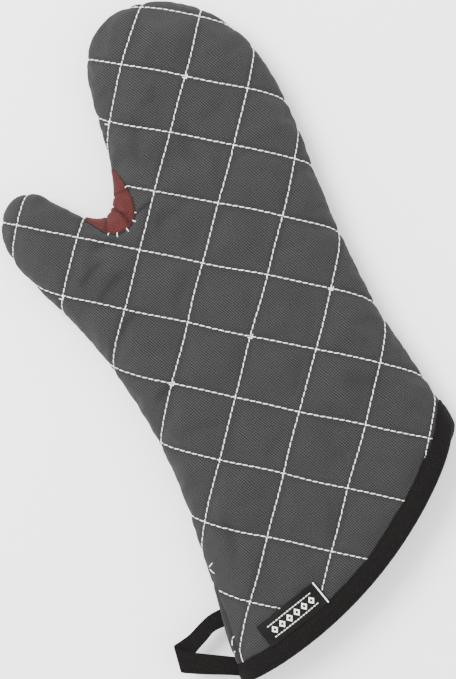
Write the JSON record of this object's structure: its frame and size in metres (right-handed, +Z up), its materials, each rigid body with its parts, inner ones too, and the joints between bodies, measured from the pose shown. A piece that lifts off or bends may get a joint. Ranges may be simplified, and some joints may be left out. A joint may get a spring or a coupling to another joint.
{
  "type": "oven mitt",
  "caption": "Long quilted oven mitt lying flat, with a thumb, a reinforced web between thumb and fingers, a bound cuff, a hanging loop and a sewn label.",
  "frame": {"origin": "on the surface the mitt lies on, under the middle of its box", "axes": "+Z up through the thickness, towards the back of the hand; +Y towards the fingertips; the thumb is towards -X"},
  "size_m": [0.2522, 0.4684, 0.0389],
  "materials": {
    "quilted_shell": "charcoal twill cloth, quilted in white thread",
    "wadding": "needled cotton wadding",
    "lining": "plain woven lining cloth",
    "web_guard": "red-brown twill cloth",
    "tape": "black woven binding tape",
    "label": "black woven tab with a pale motif"
  },
  "bodies": {
    "hand": {"back_shell": "quilted_shell", "back_wadding": "wadding", "back_lining": "lining", "palm_shell": "quilted_shell", "palm_wadding": "wadding", "palm_lining": "lining", "cuff_binding": "tape", "web_guard": "web_guard"},
    "thumb": {"thumb_back_shell": "quilted_shell", "thumb_back_wadding": "wadding", "thumb_back_lining": "lining", "thumb_palm_shell": "quilted_shell", "thumb_palm_wadding": "wadding", "thumb_palm_lining": "lining"},
    "fingers": {"finger_back_shell": "quilted_shell", "finger_back_wadding": "wadding", "finger_back_lining": "lining", "finger_palm_shell": "quilted_shell", "finger_palm_wadding": "wadding", "finger_palm_lining": "lining"},
    "loop": {"hanging_loop": "tape"},
    "label": {"woven_label": "label"}
  },
  "joints": [
    {"name": "thumb_flex", "type": "hinge", "parent": "hand", "child": "thumb", "pos_m": [-0.0686, 0.1016, 0.019], "axis": [0.218, 0.976, 0], "range_deg": [-60, 60], "stiffness_Nm_per_rad": 0.4},
    {"name": "finger_curl", "type": "hinge", "parent": "hand", "child": "fingers", "pos_m": [0.03, 0.15, 0.019], "axis": [1, 0, 0], "range_deg": [-60, 60], "stiffness_Nm_per_rad": 0.6},
    {"name": "loop_swing", "type": "hinge", "parent": "hand", "child": "loop", "pos_m": [-0.0762, -0.206, 0.019], "axis": [0, 1, 0], "range_deg": [-90, 90], "stiffness_Nm_per_rad": 0.01},
    {"name": "label_flap", "type": "hinge", "parent": "hand", "child": "label", "pos_m": [-0.02246, -0.20789, 0.03748], "axis": [0.9472, 0.3206, 0], "range_deg": [0, 120]}
  ]
}
